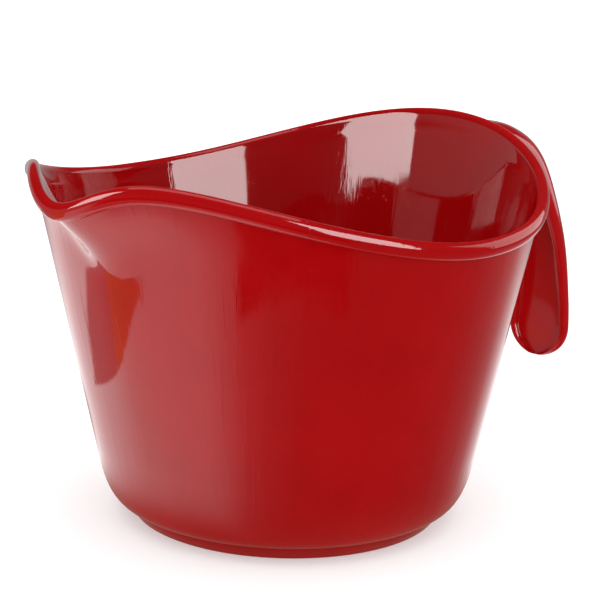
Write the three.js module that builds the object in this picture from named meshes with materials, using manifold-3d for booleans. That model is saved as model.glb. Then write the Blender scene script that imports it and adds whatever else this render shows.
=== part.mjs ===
// A deep mixing bowl with a pouring lip, a wavy rolled rim and a hooked handle opposite the lip.
// Millimetres, +Z up. +X points from the lip to the handle, and the bowl is symmetric about the XZ plane.
// The bowl stands on z = 0, with the middle of its overall length at x = 0.

import * as THREE from 'three'
import { mergeVertices } from 'three/addons/utils/BufferGeometryUtils.js'
import Module from 'manifold-3d'

const wasm = await Module()
wasm.setup()

// ---- Driving dimensions ----

const GAP = 0.3 // clearance between seated pieces

// The foot and the wall
const FOOT_RADIUS = 66.4 // where the wall's lower corner meets the foot
const UNDERSIDE = 6 // height of the flat underside
const FLOOR = 3.5 // thickness of the floor
const WALL = 3 // thickness of the wall
const CORNER_RADIUS = 76.5 // outer radius at the top of the rounded lower corner
const CORNER_TOP = 21
const CORNER_BULGE = 73 // radius of the corner curve's control point
const CORNER_LOW = 6.5 // height of that control point

// The rim: heights are to the top of the bead, angles are from the handle
const RIM_SIDE = 129.3 // lowest part of the rim, at both sides
const RIM_HANDLE = 155.8
const RIM_CREST = 153.8 // height that the wave reaches towards the lip
const HANDLE_WAVE = 2.3 // how sharply the rim rises towards the handle
const CREST_WAVE = 1.9 // how sharply it rises towards the lip
const MOUTH_RADIUS = 99.2 // centre line of the bead at the handle and the sides
const MOUTH_EGG = 5.3 // how much further out it runs towards the lip
const EGG_WAVE = 2.4
const LIP_REACH = 17.9 // how far the lip stands out of that round
const LIP_SPREAD = 0.298 // half-width of the lip, in radians
const LIP_DIP = 10.7 // how far the lip dips below the wave
const DIP_SPREAD = 0.16
const LIP_DEPTH = 32 // how far down the wall the lip's channel runs out
const BEAD_OUT = 2.6 // half the bead's width
const BEAD_UP = 3.4 // half the bead's height

// The handle: a channel, open towards the bowl. Its crown runs from the rim to the tip
const CROWN = [[92, 152.2], [106, 151.1], [137, 146.4], [159.5, 131], [175.5, 96.5], [180.4, 61], [179, 31.8]]
const HALF_WIDTH = [20, 14.5, 14, 15.2, 16.7] // evenly spaced along the crown, as the next two are
const DEPTH = [16.5, 16.2, 15, 11, 8] // from the crown to the channel's edges
const CROWN_THICKNESS = [16.5, 6, 4.6, 4.6, 5]
const EDGE_THICKNESS = 4 // the channel's sides, which end in a round edge
const ARCH_POWER = 2.3 // how square the channel's back is: 2 is an ellipse
const TIP_ROUND = 16 // length of the rounded tip
const TIP_POWER = 2.1

// The tongue under the rim that the handle is seated on
const TONGUE_REACH = 6.5
const TONGUE_HALF_WIDTH = 13
const TONGUE_LOW = 139.6
const TONGUE_HIGH = 144.8

// The ring under the foot, and the rib that holds it
const RING_TOP_RADIUS = 65.6
const RING_FOOT_RADIUS = 62.8
const RING_BORE = 55
const RIB_INNER = 58.4
const RIB_OUTER = 60.8
const RIB_LOW = 2.6

// Mesh fineness
const TURN_STEPS = 96
const WALL_STEPS = 12
const BEAD_STEPS = 10
const CORNER_STEPS = 6
const ARCH_STEPS = 12
const HANDLE_STEPS = 30

const crown = new THREE.SplineCurve(CROWN.map(([x, z]) => new THREE.Vector2(x, z)))
const lipTip = MOUTH_RADIUS + MOUTH_EGG + LIP_REACH + BEAD_OUT
const handleReach = Math.max(...crown.getPoints(120).map((p) => p.x))
const AXIS_X = (lipTip - handleReach) / 2 // the bowl's own axis

// ---- The rim and the wall as formulas ----

const mix = (a, b, t) => a + (b - a) * t
const bump = (angle, spread) => Math.exp(-((angle / spread) ** 2))

// angle from the lip's middle, 0 to PI
const fromLip = (angle) => Math.PI - Math.abs(Math.atan2(Math.sin(angle), Math.cos(angle)))

function rimHeight(angle) {
  const c = Math.cos(angle)
  const rise = c > 0
    ? (RIM_HANDLE - RIM_SIDE) * c ** HANDLE_WAVE
    : (RIM_CREST - RIM_SIDE) * (-c) ** CREST_WAVE
  return RIM_SIDE + rise - LIP_DIP * bump(fromLip(angle), DIP_SPREAD)
}

const mouthRadius = (angle) => MOUTH_RADIUS + MOUTH_EGG * ((1 - Math.cos(angle)) / 2) ** EGG_WAVE

const lipReach = (angle) => LIP_REACH * bump(fromLip(angle), LIP_SPREAD)

// Outer radius of the wall at a height, without the bead
function wallRadius(angle, z) {
  const top = rimHeight(angle) - BEAD_UP
  const up = (z - CORNER_TOP) / (top - CORNER_TOP)
  const lip = THREE.MathUtils.smootherstep(z, top - LIP_DEPTH, top + LIP_DEPTH * 0.35)
  const full = THREE.MathUtils.smootherstep(top, top - LIP_DEPTH, top + LIP_DEPTH * 0.35)
  return mix(CORNER_RADIUS, mouthRadius(angle), up) + lipReach(angle) * lip / full
}

// The outside of the bowl at one angle, from the foot to the inner edge of the bead, grown by some clearance
function outerProfile(angle, grow) {
  const points = []
  const corner = new THREE.QuadraticBezierCurve(
    new THREE.Vector2(FOOT_RADIUS, UNDERSIDE),
    new THREE.Vector2(CORNER_BULGE, CORNER_LOW),
    new THREE.Vector2(CORNER_RADIUS, CORNER_TOP),
  )
  for (const p of corner.getPoints(CORNER_STEPS)) points.push([p.x + grow, p.y])
  const beadZ = rimHeight(angle) - BEAD_UP
  const beadR = wallRadius(angle, beadZ)
  const low = beadZ - BEAD_UP * 1.1
  for (let i = 1; i <= WALL_STEPS; i++) {
    const z = mix(CORNER_TOP, low, i / WALL_STEPS)
    points.push([wallRadius(angle, z) + grow, z])
  }
  for (let i = 0; i <= BEAD_STEPS; i++) {
    const turn = mix(-0.42, 1, i / BEAD_STEPS) * Math.PI
    points.push([beadR + (BEAD_OUT + grow) * Math.cos(turn), beadZ + (BEAD_UP + grow) * Math.sin(turn)])
  }
  return points
}

function innerProfile(angle) {
  const points = []
  const floor = UNDERSIDE + FLOOR
  const beadZ = rimHeight(angle) - BEAD_UP
  for (let i = 0; i <= WALL_STEPS; i++) {
    const z = mix(beadZ - BEAD_UP, CORNER_TOP + FLOOR, i / WALL_STEPS)
    points.push([wallRadius(angle, z) - WALL, z])
  }
  const corner = new THREE.QuadraticBezierCurve(
    new THREE.Vector2(CORNER_RADIUS - WALL, CORNER_TOP + FLOOR),
    new THREE.Vector2(CORNER_BULGE - WALL, floor + 0.6),
    new THREE.Vector2(FOOT_RADIUS - WALL - 2, floor),
  )
  for (const p of corner.getPoints(CORNER_STEPS).slice(1)) points.push([p.x, p.y])
  return points
}

// ---- Mesh helpers ----

// A closed body made by turning a profile that may change with the angle. It starts and ends on the axis.
function turned(profileAt, startZ, endZ) {
  const rings = []
  for (let i = 0; i < TURN_STEPS; i++) {
    const angle = (i / TURN_STEPS) * 2 * Math.PI
    rings.push(profileAt(angle).map(([r, z]) => [AXIS_X + r * Math.cos(angle), r * Math.sin(angle), z]))
  }
  const rows = rings[0].length
  const positions = [AXIS_X, 0, startZ, AXIS_X, 0, endZ, ...rings.flat(2)]
  const at = (i, j) => 2 + (i % TURN_STEPS) * rows + j
  const index = []
  for (let i = 0; i < TURN_STEPS; i++) {
    index.push(0, at(i + 1, 0), at(i, 0), 1, at(i, rows - 1), at(i + 1, rows - 1))
    for (let j = 0; j < rows - 1; j++) {
      index.push(at(i, j), at(i + 1, j), at(i, j + 1), at(i, j + 1), at(i + 1, j), at(i + 1, j + 1))
    }
  }
  return geometryOf(positions, index)
}

function geometryOf(positions, index) {
  const geometry = new THREE.BufferGeometry()
  geometry.setAttribute('position', new THREE.Float32BufferAttribute(positions, 3))
  geometry.setIndex(index)
  return geometry
}

function solidOf(geometry) {
  const bare = geometry.clone()
  bare.deleteAttribute('normal')
  bare.deleteAttribute('uv')
  const merged = mergeVertices(bare, 1e-4)
  return new wasm.Manifold(new wasm.Mesh({
    numProp: 3,
    vertProperties: new Float32Array(merged.attributes.position.array),
    triVerts: new Uint32Array(merged.index.array),
  }))
}

function geometryOfSolid(solid) {
  const mesh = solid.getMesh()
  return geometryOf(Array.from(mesh.vertProperties), Array.from(mesh.triVerts))
}

// A ring of rectangular section about the bowl's axis
function band(inner, outer, low, high) {
  const profile = [[inner, low], [outer, low], [outer, high], [inner, high], [inner, low]]
  return new THREE.LatheGeometry(profile.map(([r, z]) => new THREE.Vector2(r, z)), TURN_STEPS)
    .rotateX(Math.PI / 2)
    .translate(AXIS_X, 0, 0)
}

function tongue(grow) {
  const inside = MOUTH_RADIUS - 4
  const outside = MOUTH_RADIUS + TONGUE_REACH + grow
  const size = [outside - inside, 2 * (TONGUE_HALF_WIDTH + grow), TONGUE_HIGH - TONGUE_LOW + 2 * grow]
  return new THREE.BoxGeometry(...size)
    .translate(AXIS_X + (inside + outside) / 2, 0, (TONGUE_LOW + TONGUE_HIGH) / 2)
}

// ---- The pieces ----

function bowlShell() {
  const profile = (angle) => [...outerProfile(angle, 0), ...innerProfile(angle)]
  const bowl = solidOf(turned(profile, UNDERSIDE, UNDERSIDE + FLOOR))
  const rib = solidOf(band(RIB_INNER, RIB_OUTER, RIB_LOW, UNDERSIDE + 1))
  return geometryOfSolid(bowl.add(rib).add(solidOf(tongue(0))))
}

// One cross-section of the handle, as [across, inward] pairs round its edge. open is 1, and 0 at the tip's end
function handleSection(halfWidth, depth, thickness, open) {
  const edge = Math.min(EDGE_THICKNESS, halfWidth * 0.9) / 2
  const deep = depth - EDGE_THICKNESS / 2
  const arch = (turn) => (1 - Math.abs(Math.sin(turn)) ** ARCH_POWER) ** (1 / ARCH_POWER)
  const points = []
  for (let i = 0; i <= ARCH_STEPS; i++) {
    const turn = mix(-0.5, 0.5, i / ARCH_STEPS) * Math.PI
    points.push([halfWidth * Math.sin(turn), deep * (1 - open * arch(turn))])
  }
  for (const turn of [0.25, 0.5, 0.75]) {
    const angle = turn * Math.PI
    points.push([halfWidth - edge * (1 - Math.cos(angle)), deep + edge * Math.sin(angle)])
  }
  const room = Math.max(0, deep - thickness) * open
  for (let i = ARCH_STEPS; i >= 0; i--) {
    const turn = mix(-0.5, 0.5, i / ARCH_STEPS) * Math.PI
    points.push([(halfWidth - 2 * edge) * Math.sin(turn), deep - room * arch(turn)])
  }
  for (const turn of [0.75, 0.5, 0.25]) {
    const angle = turn * Math.PI
    points.push([edge * (1 - Math.cos(angle)) - halfWidth, deep + edge * Math.sin(angle)])
  }
  return points
}

const line = (values) => new THREE.SplineCurve(values.map((v, i) => new THREE.Vector2(i, v)))

function handleBlank() {
  const width = line(HALF_WIDTH)
  const depth = line(DEPTH)
  const thickness = line(CROWN_THICKNESS)
  const length = crown.getLength()
  const rings = []
  for (let i = 0; i < HANDLE_STEPS; i++) {
    const u = Math.sin((i / HANDLE_STEPS) * Math.PI / 2) ** 1.25
    const past = Math.max(0, 1 - ((1 - u) * length) / TIP_ROUND)
    const open = (1 - past ** TIP_POWER) ** (1 / TIP_POWER)
    const t = crown.getUtoTmapping(u, 0)
    const centre = crown.getPoint(t)
    const along = crown.getTangent(t).normalize()
    const section = handleSection(width.getPoint(u).y * open, depth.getPoint(u).y, thickness.getPoint(u).y, open)
    rings.push(section.map(([across, inward]) => [centre.x + along.y * inward, across, centre.y - along.x * inward]))
  }
  const end = crown.getPoint(1)
  const down = crown.getTangent(1).normalize()
  const reach = DEPTH[DEPTH.length - 1] - EDGE_THICKNESS / 2
  return loft(rings, [end.x + down.y * reach, 0, end.y - down.x * reach])
}

// Joins rings of points into a closed body, flat at the first ring and pointed at the tip
function loft(rings, tip) {
  const count = rings[0].length
  const middle = [0, 1, 2].map((k) => rings[0].reduce((sum, p) => sum + p[k], 0) / count)
  const positions = [...middle, ...tip, ...rings.flat(2)]
  const at = (i, j) => 2 + i * count + (j % count)
  const last = rings.length - 1
  const index = []
  for (let j = 0; j < count; j++) {
    index.push(0, at(0, j), at(0, j + 1), 1, at(last, j + 1), at(last, j))
    for (let i = 0; i < last; i++) {
      index.push(at(i, j), at(i + 1, j), at(i, j + 1), at(i + 1, j), at(i + 1, j + 1), at(i, j + 1))
    }
  }
  return geometryOf(positions, index).translate(AXIS_X, 0, 0)
}

function handle() {
  const bowl = solidOf(turned((angle) => outerProfile(angle, GAP), UNDERSIDE, RIM_HANDLE))
  const pocket = solidOf(tongue(GAP))
  return geometryOfSolid(solidOf(handleBlank()).subtract(bowl).subtract(pocket))
}

// The foot ring: rounded outside, with a groove that takes the bowl's rib
function baseRing() {
  const top = UNDERSIDE - GAP
  const side = new THREE.CubicBezierCurve(
    new THREE.Vector2(RING_FOOT_RADIUS - 1.2, 0),
    new THREE.Vector2(RING_FOOT_RADIUS + 0.4, 0),
    new THREE.Vector2(RING_TOP_RADIUS - 1, 2.4),
    new THREE.Vector2(RING_TOP_RADIUS, top),
  )
  const profile = [
    new THREE.Vector2(RING_BORE, 0),
    ...side.getPoints(6),
    new THREE.Vector2(RIB_OUTER + GAP, top),
    new THREE.Vector2(RIB_OUTER + GAP, RIB_LOW - GAP),
    new THREE.Vector2(RIB_INNER - GAP, RIB_LOW - GAP),
    new THREE.Vector2(RIB_INNER - GAP, top),
    new THREE.Vector2(RING_BORE, top),
    new THREE.Vector2(RING_BORE, 0),
  ]
  return new THREE.LatheGeometry(profile, TURN_STEPS).rotateX(Math.PI / 2).translate(AXIS_X, 0, 0)
}

// ---- The assembly ----

const gloss = (color, roughness) => new THREE.MeshStandardMaterial({ color, roughness, metalness: 0 })

function piece(name, geometry, material) {
  const mesh = new THREE.Mesh(geometry, material)
  mesh.name = name
  return mesh
}

const group = new THREE.Group()
group.add(
  piece('bowl_shell', bowlShell(), gloss(0xb00b10, 0.12)),
  piece('handle', handle(), gloss(0xb00b10, 0.14)),
  piece('base_ring', baseRing(), gloss(0x9c0a10, 0.3)),
)

export default group
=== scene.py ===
import math

import bpy
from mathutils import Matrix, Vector


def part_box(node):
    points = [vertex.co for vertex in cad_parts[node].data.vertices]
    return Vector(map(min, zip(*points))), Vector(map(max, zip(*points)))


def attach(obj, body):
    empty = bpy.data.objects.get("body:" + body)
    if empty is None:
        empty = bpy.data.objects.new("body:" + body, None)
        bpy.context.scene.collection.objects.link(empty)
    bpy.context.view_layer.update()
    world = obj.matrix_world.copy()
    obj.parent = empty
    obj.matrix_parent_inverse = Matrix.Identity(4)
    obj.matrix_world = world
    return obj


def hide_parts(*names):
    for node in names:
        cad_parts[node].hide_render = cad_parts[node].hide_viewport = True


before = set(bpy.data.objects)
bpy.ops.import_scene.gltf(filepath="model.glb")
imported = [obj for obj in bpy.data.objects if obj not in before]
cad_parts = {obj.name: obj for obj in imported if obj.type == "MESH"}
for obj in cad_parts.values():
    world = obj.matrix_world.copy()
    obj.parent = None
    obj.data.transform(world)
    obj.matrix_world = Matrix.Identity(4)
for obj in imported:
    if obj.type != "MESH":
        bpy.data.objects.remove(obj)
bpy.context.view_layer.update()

MM = 0.001

# ---- Driving dimensions, in millimetres, the same as the CAD model's ----

FOOT_RADIUS = 66.4
UNDERSIDE = 6
FLOOR = 3.5
WALL = 3
CORNER_RADIUS = 76.5
CORNER_TOP = 21
CORNER_BULGE = 73
CORNER_LOW = 6.5

RIM_SIDE = 129.3
RIM_HANDLE = 155.8
RIM_CREST = 153.8
HANDLE_WAVE = 2.3
CREST_WAVE = 1.9
MOUTH_RADIUS = 99.2
MOUTH_EGG = 5.3
EGG_WAVE = 2.4
LIP_REACH = 17.9
LIP_SPREAD = 0.298
LIP_DIP = 10.7
DIP_SPREAD = 0.16
LIP_DEPTH = 32
BEAD_OUT = 2.6
BEAD_UP = 3.4

CROWN = [(92, 152.2), (106, 151.1), (137, 146.4), (159.5, 131), (175.5, 96.5), (180.4, 61), (179, 31.8)]
HALF_WIDTH = [20, 14.5, 14, 15.2, 16.7]
DEPTH = [16.5, 16.2, 15, 11, 8]
CROWN_THICKNESS = [16.5, 6, 4.6, 4.6, 5]
EDGE_THICKNESS = 4
ARCH_POWER = 2.3
TIP_ROUND = 16
TIP_POWER = 2.1
GAP = 0.3

RING_TOP_RADIUS = 65.6
RING_FOOT_RADIUS = 62.8
RING_BORE = 55

# ---- Mesh fineness ----

TURN_STEPS = 288
CORNER_STEPS = 12
WALL_STEPS = 40
BEAD_START = -0.42
BEAD_STEPS = 24
CROWN_STATIONS = 150
SECTION_STEPS = 36
EDGE_STEPS = 8
SHARP_ANGLE = math.radians(32)

ring_low, ring_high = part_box("base_ring")
AXIS_X = (ring_low.x + ring_high.x) / 2 / MM


# ---- The rim and the wall as formulas ----

def mix(a, b, t):
    return a + (b - a) * t


def bump(angle, spread):
    return math.exp(-((angle / spread) ** 2))


def smoother(x, low, high):
    t = min(1, max(0, (x - low) / (high - low)))
    return t * t * t * (t * (t * 6 - 15) + 10)


def from_lip(angle):
    return math.pi - abs(math.atan2(math.sin(angle), math.cos(angle)))


def rim_height(angle):
    c = math.cos(angle)
    if c > 0:
        rise = (RIM_HANDLE - RIM_SIDE) * c**HANDLE_WAVE
    else:
        rise = (RIM_CREST - RIM_SIDE) * (-c) ** CREST_WAVE
    return RIM_SIDE + rise - LIP_DIP * bump(from_lip(angle), DIP_SPREAD)


def mouth_radius(angle):
    return MOUTH_RADIUS + MOUTH_EGG * ((1 - math.cos(angle)) / 2) ** EGG_WAVE


def lip_reach(angle):
    return LIP_REACH * bump(from_lip(angle), LIP_SPREAD)


def wall_radius(angle, z):
    top = rim_height(angle) - BEAD_UP
    up = (z - CORNER_TOP) / (top - CORNER_TOP)
    lip = smoother(z, top - LIP_DEPTH, top + LIP_DEPTH * 0.35)
    full = smoother(top, top - LIP_DEPTH, top + LIP_DEPTH * 0.35)
    return mix(CORNER_RADIUS, mouth_radius(angle), up) + lip_reach(angle) * lip / full


def bezier(a, b, c, steps):
    out = []
    for i in range(steps + 1):
        t = i / steps
        out.append(tuple(
            (1 - t) ** 2 * p + 2 * t * (1 - t) * q + t * t * s for p, q, s in zip(a, b, c)
        ))
    return out


def shell_profile(angle):
    """The bowl's outside, bead and inside at one angle, as (radius, height) pairs."""
    points = [(r, UNDERSIDE) for r in (20, 40, 55, 62)]
    points += bezier(
        (FOOT_RADIUS, UNDERSIDE), (CORNER_BULGE, CORNER_LOW), (CORNER_RADIUS, CORNER_TOP), CORNER_STEPS
    )
    bead_z = rim_height(angle) - BEAD_UP
    bead_r = wall_radius(angle, bead_z)
    low = bead_z - BEAD_UP * 1.1
    for i in range(1, WALL_STEPS + 1):
        z = mix(CORNER_TOP, low, i / WALL_STEPS)
        points.append((wall_radius(angle, z), z))
    for i in range(BEAD_STEPS + 1):
        turn = mix(BEAD_START, 1, i / BEAD_STEPS) * math.pi
        points.append((bead_r + BEAD_OUT * math.cos(turn), bead_z + BEAD_UP * math.sin(turn)))
    floor = UNDERSIDE + FLOOR
    for i in range(WALL_STEPS + 1):
        z = mix(bead_z - BEAD_UP, CORNER_TOP + FLOOR, i / WALL_STEPS)
        points.append((wall_radius(angle, z) - WALL, z))
    points += bezier(
        (CORNER_RADIUS - WALL, CORNER_TOP + FLOOR),
        (CORNER_BULGE - WALL, floor + 0.6),
        (FOOT_RADIUS - WALL - 2, floor), CORNER_STEPS,
    )[1:]
    points += [(r, floor) for r in (55, 40, 20)]
    return points


# ---- Mesh helpers ----

def make_mesh(name, points, faces):
    mesh = bpy.data.meshes.new(name)
    mesh.from_pydata([tuple(c * MM for c in p) for p in points], [], faces)
    mesh.validate()
    for polygon in mesh.polygons:
        polygon.use_smooth = True
    mesh.set_sharp_from_angle(angle=SHARP_ANGLE)
    piece = bpy.data.objects.new(name, mesh)
    bpy.context.scene.collection.objects.link(piece)
    return piece


def turned(name, profile_at, start_z, end_z, steps):
    """A closed body turned round the bowl's axis, from a profile that changes with the angle."""
    points = [(AXIS_X, 0, start_z), (AXIS_X, 0, end_z)]
    rows = 0
    for i in range(steps):
        angle = 2 * math.pi * i / steps
        profile = profile_at(angle)
        rows = len(profile)
        points += [(AXIS_X + r * math.cos(angle), r * math.sin(angle), z) for r, z in profile]

    def at(i, j):
        return 2 + (i % steps) * rows + j

    faces = []
    for i in range(steps):
        faces.append((0, at(i + 1, 0), at(i, 0)))
        faces.append((1, at(i, rows - 1), at(i + 1, rows - 1)))
        for j in range(rows - 1):
            faces.append((at(i, j), at(i + 1, j), at(i + 1, j + 1), at(i, j + 1)))
    return make_mesh(name, points, faces)


def closed_ring(name, profile, steps):
    """A ring round the bowl's axis. Its profile closes on itself."""
    points = []
    rows = len(profile)
    for i in range(steps):
        angle = 2 * math.pi * i / steps
        points += [(AXIS_X + r * math.cos(angle), r * math.sin(angle), z) for r, z in profile]
    faces = []
    for i in range(steps):
        for j in range(rows):
            a, b = i * rows, (i + 1) % steps * rows
            k = (j + 1) % rows
            faces.append((a + j, b + j, b + k, a + k))
    return make_mesh(name, points, faces)


# ---- The handle ----

def spline(values, t):
    """A Catmull-Rom curve through the values, from t = 0 to t = 1."""
    place = t * (len(values) - 1)
    i = min(int(place), len(values) - 2)
    w = place - i
    p0 = values[max(i - 1, 0)]
    p1, p2 = values[i], values[i + 1]
    p3 = values[min(i + 2, len(values) - 1)]
    v0, v1 = (p2 - p0) / 2, (p3 - p1) / 2
    return (
        (2 * p1 - 2 * p2 + v0 + v1) * w**3
        + (-3 * p1 + 3 * p2 - 2 * v0 - v1) * w**2
        + v0 * w
        + p1
    )


def crown_point(t):
    return spline([x for x, z in CROWN], t), spline([z for x, z in CROWN], t)


def crown_table(steps=600):
    """Lengths along the crown, each with its t."""
    table = [(0.0, 0.0)]
    length = 0.0
    last = crown_point(0)
    for i in range(1, steps + 1):
        point = crown_point(i / steps)
        length += math.dist(point, last)
        table.append((length, i / steps))
        last = point
    return table


def crown_at_length(table, length):
    for (l0, t0), (l1, t1) in zip(table, table[1:]):
        if length <= l1:
            return mix(t0, t1, (length - l0) / (l1 - l0))
    return 1.0


def arch(turn):
    return (1 - abs(math.sin(turn)) ** ARCH_POWER) ** (1 / ARCH_POWER)


def handle_section(half_width, depth, thickness, open_):
    """The channel's outline as (across, inward) pairs: back, one edge, inside, other edge."""
    edge = min(EDGE_THICKNESS, half_width * 0.9) / 2
    deep = depth - EDGE_THICKNESS / 2
    room = max(0, deep - thickness) * open_
    turns = [mix(-0.5, 0.5, i / SECTION_STEPS) * math.pi for i in range(SECTION_STEPS + 1)]
    lips = [math.pi * i / EDGE_STEPS for i in range(1, EDGE_STEPS)]
    points = [(half_width * math.sin(a), deep * (1 - open_ * arch(a))) for a in turns]
    points += [(half_width - edge * (1 - math.cos(a)), deep + edge * math.sin(a)) for a in lips]
    points += [((half_width - 2 * edge) * math.sin(a), deep - room * arch(a)) for a in reversed(turns)]
    points += [
        (edge * (1 - math.cos(a)) - half_width, deep + edge * math.sin(a)) for a in reversed(lips)
    ]
    return points


def outer_radius(angle, z):
    """The outside of the bowl, bead included."""
    bead_z = rim_height(angle) - BEAD_UP
    radius = wall_radius(angle, min(z, bead_z))
    off = (z - bead_z) / BEAD_UP
    if abs(off) < 1:
        bead = wall_radius(angle, bead_z) + BEAD_OUT * math.sqrt(1 - off * off)
        radius = max(radius, bead)
    return radius


def seated(x, y, z):
    """Moves a point of the handle that lies inside the bowl out to its surface."""
    reach = math.hypot(x, y)
    angle = math.atan2(y, x)
    least = outer_radius(angle, z) + GAP
    if reach >= least:
        return x, y, z
    return x * least / reach, y * least / reach, z


def handle_piece():
    table = crown_table()
    length = table[-1][0]
    rings = []
    for i in range(CROWN_STATIONS):
        u = math.sin(i / CROWN_STATIONS * math.pi / 2) ** 1.1
        past = max(0, 1 - (1 - u) * length / TIP_ROUND)
        open_ = (1 - past**TIP_POWER) ** (1 / TIP_POWER)
        t = crown_at_length(table, u * length)
        x, z = crown_point(t)
        x1, z1 = crown_point(min(1, t + 1e-4))
        x0, z0 = crown_point(max(0, t - 1e-4))
        step = math.hypot(x1 - x0, z1 - z0)
        along = ((x1 - x0) / step, (z1 - z0) / step)
        section = handle_section(
            spline(HALF_WIDTH, u) * open_, spline(DEPTH, u), spline(CROWN_THICKNESS, u), open_
        )
        rings.append([
            seated(x + along[1] * inward, across, z - along[0] * inward) for across, inward in section
        ])
    x, z = crown_point(1)
    x0, z0 = crown_point(1 - 1e-4)
    step = math.hypot(x - x0, z - z0)
    deep = DEPTH[-1] - EDGE_THICKNESS / 2
    tip = (x + (z - z0) / step * deep, 0, z - (x - x0) / step * deep)
    count = len(rings[0])
    middle = tuple(sum(p[k] for p in rings[0]) / count for k in range(3))
    points = [middle, tip] + [p for ring in rings for p in ring]
    points = [(AXIS_X + x, y, z) for x, y, z in points]
    faces = []
    for k in range(count):
        n = (k + 1) % count
        last = 2 + (CROWN_STATIONS - 1) * count
        faces.append((0, 2 + k, 2 + n))
        faces.append((1, last + n, last + k))
        for i in range(CROWN_STATIONS - 1):
            a = 2 + i * count
            faces.append((a + k, a + count + k, a + count + n, a + n))
    return make_mesh("handle_fine", points, faces)


# ---- Materials ----

# The drawn marks and scuffs start at the first radius and are full at the second, in metres.
MARKS_START, MARKS_FULL = 0.064, 0.078


def new_node(tree, kind, values=None, **settings):
    node = tree.nodes.new(kind)
    for key, value in settings.items():
        setattr(node, key, value)
    for key, value in (values or {}).items():
        node.inputs[key].default_value = value
    return node


def noise(tree, place, scale, detail):
    node = new_node(tree, "ShaderNodeTexNoise", {"Scale": scale, "Detail": detail, "Roughness": 0.6})
    tree.links.new(place, node.inputs["Vector"])
    return node.outputs["Fac"]


def spread(tree, value, low, high, to_low, to_high, shape="SMOOTHSTEP"):
    """Maps value from low..high to to_low..to_high, and holds it there outside."""
    node = new_node(tree, "ShaderNodeMapRange", {
        "From Min": low, "From Max": high, "To Min": to_low, "To Max": to_high
    }, interpolation_type=shape)
    tree.links.new(value, node.inputs["Value"])
    return node.outputs["Result"]


def combine(tree, operation, a, b):
    node = new_node(tree, "ShaderNodeMath", operation=operation)
    for socket, value in zip(node.inputs, (a, b)):
        if isinstance(value, (int, float)):
            socket.default_value = value
        else:
            tree.links.new(value, socket)
    return node.outputs[0]


def round_the_axis(tree, place):
    """Turns a position into its angle round the bowl's axis, its height and its reach."""
    parts = new_node(tree, "ShaderNodeSeparateXYZ")
    tree.links.new(place, parts.inputs[0])
    x = combine(tree, "SUBTRACT", parts.outputs["X"], AXIS_X * MM)
    turn = combine(tree, "ARCTAN2", parts.outputs["Y"], x)
    across = combine(tree, "MULTIPLY", x, x)
    along = combine(tree, "MULTIPLY", parts.outputs["Y"], parts.outputs["Y"])
    reach = combine(tree, "SQRT", combine(tree, "ADD", across, along), 0.0)
    return turn, parts.outputs["Z"], reach


def plastic(name, color, roughness, ripple, wear, streaks):
    """Moulded gloss plastic: faint clouding, fine scuffs, sink ripple, and drawn marks up the wall."""
    material = bpy.data.materials.new(name)
    material.use_nodes = True
    tree = material.node_tree
    shader = tree.nodes["Principled BSDF"]
    shader.inputs["IOR"].default_value = 1.5
    place = new_node(tree, "ShaderNodeTexCoord").outputs["Object"]
    turn, height, reach = round_the_axis(tree, place)

    cloud = noise(tree, place, 14, 3)
    grain = noise(tree, place, 420, 2)
    colors = new_node(tree, "ShaderNodeMix", data_type="RGBA")
    colors.inputs["A"].default_value = (color[0] * 0.93, color[1] * 0.8, color[2] * 0.8, 1)
    colors.inputs["B"].default_value = (color[0] * 1.07, color[1] * 1.3, color[2] * 1.2, 1)
    clouding = combine(tree, "MULTIPLY", cloud, 0.85)
    tint = combine(tree, "ADD", clouding, combine(tree, "MULTIPLY", grain, 0.15))
    tree.links.new(spread(tree, tint, 0.36, 0.64, 0, 1), colors.inputs["Factor"])
    tree.links.new(colors.outputs["Result"], shader.inputs["Base Color"])

    # Scuffs are short arcs round the bowl, and marks are long ones up its wall.
    drawn = new_node(tree, "ShaderNodeCombineXYZ")
    tree.links.new(combine(tree, "MULTIPLY", turn, 0.8), drawn.inputs["X"])
    tree.links.new(combine(tree, "MULTIPLY", height, 26), drawn.inputs["Y"])
    tree.links.new(combine(tree, "MULTIPLY", reach, 9), drawn.inputs["Z"])
    scuff = noise(tree, drawn.outputs[0], 34, 5)
    upright = new_node(tree, "ShaderNodeCombineXYZ")
    tree.links.new(combine(tree, "MULTIPLY", turn, 12), upright.inputs["X"])
    tree.links.new(combine(tree, "MULTIPLY", height, 9), upright.inputs["Y"])
    tree.links.new(reach, upright.inputs["Z"])
    mark = noise(tree, upright.outputs[0], 1.6, 4)

    off_the_floor = spread(tree, reach, MARKS_START, MARKS_FULL, 0, 1)
    mark = combine(tree, "MULTIPLY", spread(tree, mark, 0.52, 0.66, 0, 1), off_the_floor)
    worn = combine(tree, "MULTIPLY", spread(tree, scuff, 0.62, 0.74, 0, wear), off_the_floor)
    soft = spread(tree, cloud, 0.4, 0.62, roughness * 0.8, roughness * 1.3)
    tree.links.new(combine(tree, "ADD", soft, worn), shader.inputs["Roughness"])

    sink = noise(tree, place, 22, 1)
    peel = noise(tree, place, 190, 1)
    rise = combine(tree, "MULTIPLY", sink, ripple)
    rise = combine(tree, "ADD", rise, combine(tree, "MULTIPLY", peel, ripple * 0.008))
    rise = combine(tree, "ADD", rise, combine(tree, "MULTIPLY", grain, ripple * 0.0007))
    rise = combine(tree, "ADD", rise, combine(tree, "MULTIPLY", mark, streaks))
    rise = combine(tree, "SUBTRACT", rise, combine(tree, "MULTIPLY", worn, 0.00002))
    relief = new_node(tree, "ShaderNodeBump", {"Strength": 1.0, "Distance": 1.0})
    tree.links.new(rise, relief.inputs["Height"])
    tree.links.new(relief.outputs["Normal"], shader.inputs["Normal"])
    return material


# ---- The pieces ----

RED = (0.31, 0.0011, 0.0020)

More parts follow.
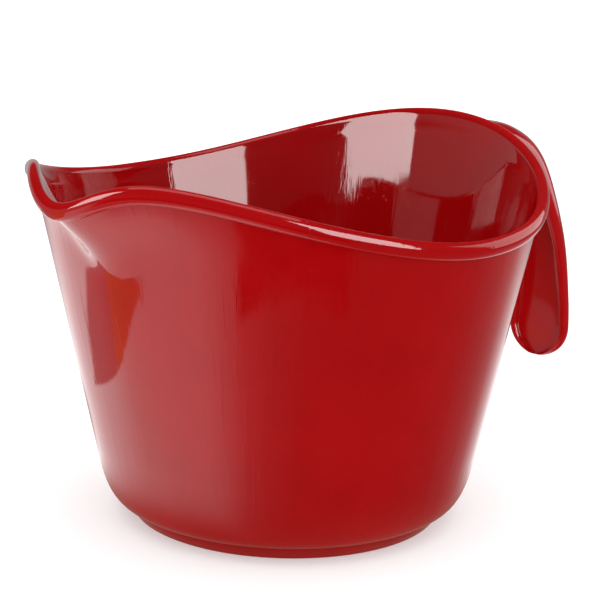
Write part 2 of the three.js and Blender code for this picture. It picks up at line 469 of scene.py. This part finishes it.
shell = turned("bowl_fine", shell_profile, UNDERSIDE, UNDERSIDE + FLOOR, TURN_STEPS)
shell.data.materials.append(plastic(
    "red_shell_look", RED, roughness=0.05, ripple=0.00012, wear=0.12, streaks=0.00002
))
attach(shell, "root")
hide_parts("bowl_shell")

grip = handle_piece()
grip.data.materials.append(plastic(
    "red_handle_look", RED, roughness=0.09, ripple=0.00010, wear=0.12, streaks=0
))
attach(grip, "root")
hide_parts("handle")

ring_top = UNDERSIDE - GAP
ring_profile = [(RING_BORE, 0)]
ring_profile += [(RING_FOOT_RADIUS - 1.2, 0), (RING_FOOT_RADIUS, 0.5), (RING_FOOT_RADIUS + 1, 2)]
ring_profile += [(RING_TOP_RADIUS - 0.4, 4), (RING_TOP_RADIUS, ring_top), (RING_BORE, ring_top)]
ring = closed_ring("base_ring_fine", ring_profile, TURN_STEPS)
ring.data.materials.append(plastic(
    "red_base_look", RED, roughness=0.14, ripple=0.00008, wear=0.16, streaks=0
))
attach(ring, "root")
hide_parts("base_ring")


# ---- The stage, the light and the camera ----

# The floor's half side, the patch's half side and its height above the floor, in metres
FLOOR_HALF = 6.0
PATCH_HALF = 0.9
PATCH_UP = 0.0004

# The patch's painted shades, painted warm glow and painted pale strip. Places and edges are in metres
# from the bowl's axis, azimuths in degrees from +X towards +Y, and ends are cosines off the azimuth. A
# pair is an edge's start and end.
FOOT_SHADE = (0.072, 0.112)
BACK_SHADE_AT, BACK_SHADE = (0.075, 0.11, 0), (0.07, 0.115)
GLOW_SIDE, GLOW_EDGE = (-0.52, 0.85, 0), (0.172, 0.176)
WARM_GLOW_AZIMUTH, WARM_GLOW_ENDS = 151, (0.967, 0.972)
STRIP_AZIMUTH, STRIP_ENDS = 126, (0.976, 0.982)

# Painted shade tints for the patch: darker behind the bowl, dimmer round its foot.
PAINTED_DARK_SHADE = (0.30, 0.09, 0.07, 1)
PAINTED_DIM_SHADE = (0.36, 0.20, 0.17, 1)
# Painted reflections for the patch: a pale strip and a warm glow.
PALE_STRIP = (0.50, 0.42, 0.42, 1)
PAINTED_WARM_GLOW = (0.95, 0.48, 0.22, 1)

BOX_DISTANCE = 1.3
KEY_SHARE = 0.12  # a key's brightness over its sheen's

# The world's bright side and its dark front, and the heights where its three bands meet
BRIGHT_AZIMUTH = 98
FRONT_AZIMUTH = -137
LOW_TO_MIDDLE = (-0.33, -0.22)
MIDDLE_TO_HIGH = (0.12, 0.28)


def flat_square(name, x, z, half):
    corners = [(x - half, -half, z), (x + half, -half, z), (x + half, half, z), (x - half, half, z)]
    mesh = bpy.data.meshes.new(name)
    mesh.from_pydata(corners, [], [(0, 1, 2, 3)])
    square = bpy.data.objects.new(name, mesh)
    bpy.context.scene.collection.objects.link(square)
    return square


def stage_floor():
    floor = flat_square("floor", 0, 0, FLOOR_HALF)
    material = bpy.data.materials.new("pale_floor")
    material.use_nodes = True
    shader = material.node_tree.nodes["Principled BSDF"]
    shader.inputs["Base Color"].default_value = (0.7, 0.7, 0.7, 1)
    shader.inputs["Roughness"].default_value = 0.9
    shader.inputs["Specular IOR Level"].default_value = 0
    shader.inputs["Emission Color"].default_value = (1, 1, 1, 1)
    shader.inputs["Emission Strength"].default_value = 0.36
    floor.data.materials.append(material)
    floor.visible_glossy = False


def table_shadow():
    """A glowing patch of table that only the gloss of the plastic sees: painted shade and painted
    reflections.

    It is painted dim round the foot and behind the bowl as the bowl's shade, with a painted warm glow
    and a paler painted strip to the left. They approximate reflections in the photo, whose real sources
    aren't known.
    """
    x = AXIS_X * MM
    patch = flat_square("table_shadow", x, PATCH_UP, PATCH_HALF)
    material = bpy.data.materials.new("table_shadow")
    material.use_nodes = True
    tree = material.node_tree
    tree.nodes.clear()
    place = new_node(tree, "ShaderNodeTexCoord").outputs["Object"]
    _, _, reach = round_the_axis(tree, place)
    from_axis = new_node(tree, "ShaderNodeVectorMath", {1: (-x, 0, 0)}, operation="ADD")
    tree.links.new(place, from_axis.inputs[0])
    round_foot = spread(tree, reach, *FOOT_SHADE, 1, 0)
    behind = new_node(tree, "ShaderNodeVectorMath", {1: BACK_SHADE_AT}, operation="DISTANCE")
    tree.links.new(from_axis.outputs[0], behind.inputs[0])
    cast = spread(tree, behind.outputs["Value"], *BACK_SHADE, 1, 0)
    level = new_node(tree, "ShaderNodeVectorMath", operation="NORMALIZE")
    tree.links.new(from_axis.outputs[0], level.inputs[0])
    side = new_node(tree, "ShaderNodeVectorMath", {1: GLOW_SIDE}, operation="DOT_PRODUCT")
    tree.links.new(from_axis.outputs[0], side.inputs[0])
    beyond = spread(tree, side.outputs["Value"], *GLOW_EDGE, 0, 1)
    to_warm_glow = spread(tree, towards(tree, level.outputs[0], WARM_GLOW_AZIMUTH), *WARM_GLOW_ENDS, 0, 1)
    to_strip = spread(tree, towards(tree, level.outputs[0], STRIP_AZIMUTH), *STRIP_ENDS, 0, 1)
    warm_glow = combine(tree, "MULTIPLY", beyond, to_warm_glow)
    strip = combine(tree, "MULTIPLY", beyond, to_strip)
    shade = combine(tree, "MAXIMUM", round_foot, cast)
    cover = combine(tree, "MAXIMUM", shade, combine(tree, "MAXIMUM", warm_glow, strip))
    # Painted shade: dim round the foot, darker behind the bowl where its shade falls.
    color = blended(tree, cast, PAINTED_DIM_SHADE, PAINTED_DARK_SHADE)
    # Painted reflections over the shade: a pale strip, then a warm glow.
    color = blended(tree, strip, color, PALE_STRIP)
    color = blended(tree, warm_glow, color, PAINTED_WARM_GLOW)
    dim = new_node(tree, "ShaderNodeEmission")
    tree.links.new(color, dim.inputs["Color"])
    clear = new_node(tree, "ShaderNodeBsdfTransparent")
    mixed = new_node(tree, "ShaderNodeMixShader")
    tree.links.new(cover, mixed.inputs["Fac"])
    tree.links.new(clear.outputs[0], mixed.inputs[1])
    tree.links.new(dim.outputs[0], mixed.inputs[2])
    tree.links.new(mixed.outputs[0], new_node(tree, "ShaderNodeOutputMaterial").inputs["Surface"])
    patch.data.materials.append(material)
    patch.visible_camera = False
    patch.visible_diffuse = False
    patch.visible_shadow = False


def softbox(name, azimuth, elevation, distance, size, radiance):
    """A rectangular light round the bowl. Azimuth is from +X towards +Y, in degrees."""
    a, e = math.radians(azimuth), math.radians(elevation)
    aim = Vector((AXIS_X * MM, 0, 0.12))
    away = Vector((math.cos(a) * math.cos(e), math.sin(a) * math.cos(e), math.sin(e)))
    light = bpy.data.lights.new(name, "AREA")
    light.shape = "RECTANGLE"
    light.size, light.size_y = size
    light.energy = radiance * math.pi * size[0] * size[1]
    lamp = bpy.data.objects.new(name, light)
    bpy.context.scene.collection.objects.link(lamp)
    lamp.location = aim + away * distance
    lamp.rotation_euler = (-away).to_track_quat("-Z", "Y").to_euler()
    return lamp


def ramp(tree, value, stops):
    """A grey that follows (place, level) stops."""
    node = new_node(tree, "ShaderNodeValToRGB")
    elements = node.color_ramp.elements
    while len(elements) < len(stops):
        elements.new(0.5)
    for element, (place, level) in zip(elements, stops):
        element.position = place
        element.color = (level, level, level, 1)
    tree.links.new(value, node.inputs["Fac"])
    return node.outputs["Color"]


def towards(tree, way, azimuth):
    """The cosine between a direction and an azimuth, in degrees from +X towards +Y."""
    a = math.radians(azimuth)
    toward = (math.cos(a), math.sin(a), 0)
    node = new_node(tree, "ShaderNodeVectorMath", {1: toward}, operation="DOT_PRODUCT")
    tree.links.new(way, node.inputs[0])
    return node.outputs["Value"]


def blended(tree, factor, a, b):
    node = new_node(tree, "ShaderNodeMix", data_type="RGBA")
    tree.links.new(factor, node.inputs["Factor"])
    for key, value in (("A", a), ("B", b)):
        if isinstance(value, tuple):
            node.inputs[key].default_value = value
        else:
            tree.links.new(value, node.inputs[key])
    return node.outputs["Result"]


def studio_world():
    """White to the camera and a plain sky to diffuse rays. Gloss sees it brightest low at the back
    and left."""
    world = bpy.data.worlds.new("studio")
    bpy.context.scene.world = world
    world.use_nodes = True
    tree = world.node_tree
    tree.nodes.clear()
    way = new_node(tree, "ShaderNodeTexCoord").outputs["Generated"]
    parts = new_node(tree, "ShaderNodeSeparateXYZ")
    tree.links.new(way, parts.inputs[0])
    up = parts.outputs["Z"]
    flat = new_node(tree, "ShaderNodeVectorMath", {1: (1, 1, 0)}, operation="MULTIPLY")
    tree.links.new(way, flat.inputs[0])
    level = new_node(tree, "ShaderNodeVectorMath", operation="NORMALIZE")
    tree.links.new(flat.outputs[0], level.inputs[0])

    bright_side = towards(tree, level.outputs[0], BRIGHT_AZIMUTH)
    back = spread(tree, bright_side, -1, 1, 0, 1, shape="LINEAR")
    low = ramp(tree, back, [
        (0.0, 0.09), (0.15, 0.12), (0.32, 0.25), (0.42, 0.42), (0.52, 0.9), (0.62, 1.3), (0.9, 1.5)
    ])
    middle = ramp(tree, back, [(0.0, 0.08), (0.3, 0.08), (0.5, 0.2), (0.8, 0.45)])
    high = ramp(tree, back, [(0.0, 0.12), (0.3, 0.05), (1.0, 0.05)])

    # Dark low down past the camera, as under the front edge of a table.
    near = spread(tree, towards(tree, level.outputs[0], FRONT_AZIMUTH), 0.86, 0.90, 0, 1)
    edge = combine(tree, "MULTIPLY", near, spread(tree, up, -0.634, -0.624, 0, 0.95))
    low = blended(tree, edge, low, (0.004, 0.004, 0.004, 1))

    light = blended(tree, spread(tree, up, *LOW_TO_MIDDLE, 0, 1), low, middle)
    light = blended(tree, spread(tree, up, *MIDDLE_TO_HIGH, 0, 1), light, high)
    glow = new_node(tree, "ShaderNodeBackground")
    tree.links.new(light, glow.inputs["Color"])
    fill = new_node(tree, "ShaderNodeBackground", {"Color": (1, 1, 1, 1)})
    tree.links.new(spread(tree, up, 0, 1, 0.75, 1.75), fill.inputs["Strength"])
    white = new_node(tree, "ShaderNodeBackground", {"Color": (1, 1, 1, 1)})
    path = new_node(tree, "ShaderNodeLightPath")
    soft = new_node(tree, "ShaderNodeMixShader")
    tree.links.new(path.outputs["Is Diffuse Ray"], soft.inputs["Fac"])
    tree.links.new(glow.outputs[0], soft.inputs[1])
    tree.links.new(fill.outputs[0], soft.inputs[2])
    pick = new_node(tree, "ShaderNodeMixShader")
    tree.links.new(path.outputs["Is Camera Ray"], pick.inputs["Fac"])
    tree.links.new(soft.outputs[0], pick.inputs[1])
    tree.links.new(white.outputs[0], pick.inputs[2])
    tree.links.new(pick.outputs[0], new_node(tree, "ShaderNodeOutputWorld").inputs["Surface"])


stage_floor()
table_shadow()
studio_world()
# Each soft box is a sheen that only gloss sees, and a far weaker key that gloss doesn't see.
for box, azimuth, elevation, size, radiance in (
    ("left_of_camera", 172, 25, 0.80, 9.0),
    ("right_of_camera", -97, 21, 0.98, 9.0),
    ("right_panel", -22, 15, 0.98, 1.6),
    ("overhead", -137, 84, 0.9, 1.5),
):
    sheen = softbox(box + "_sheen", azimuth, elevation, BOX_DISTANCE, (size, size), radiance)
    sheen.visible_diffuse = False
    key = softbox(box, azimuth, elevation, BOX_DISTANCE, (size, size), radiance * KEY_SHARE)
    key.visible_glossy = False

# A soft light for the inside of the handle alone, which the bowl keeps in the dark.
grip_light = softbox(
    "grip_fill", azimuth=-122, elevation=8, distance=0.9, size=(0.5, 0.5), radiance=3.4
)
grip_light.visible_glossy = False
lit = bpy.data.collections.new("lit_by_grip_fill")
lit.objects.link(grip)
grip_light.light_linking.receiver_collection = lit

bpy.context.scene.view_settings.view_transform = "Standard"

AXIS = Vector((AXIS_X * MM, 0, 0))
CAMERA_AT = AXIS + Vector((-0.5563, -0.5169, 0.2767))
CAMERA_AIM = AXIS + Vector((0.0062, 0.0002, 0.0862))
CAMERA_ROLL = math.radians(1.50)
CAMERA_LENS = 115.9

camera_data = bpy.data.cameras.new("camera")
camera_data.sensor_width = 36
camera_data.lens = CAMERA_LENS
camera = bpy.data.objects.new("camera", camera_data)
bpy.context.scene.collection.objects.link(camera)
camera.location = CAMERA_AT
camera.rotation_euler = (CAMERA_AIM - CAMERA_AT).to_track_quat("-Z", "Y").to_euler()
camera.rotation_euler.rotate_axis("Z", CAMERA_ROLL)
bpy.context.scene.camera = camera
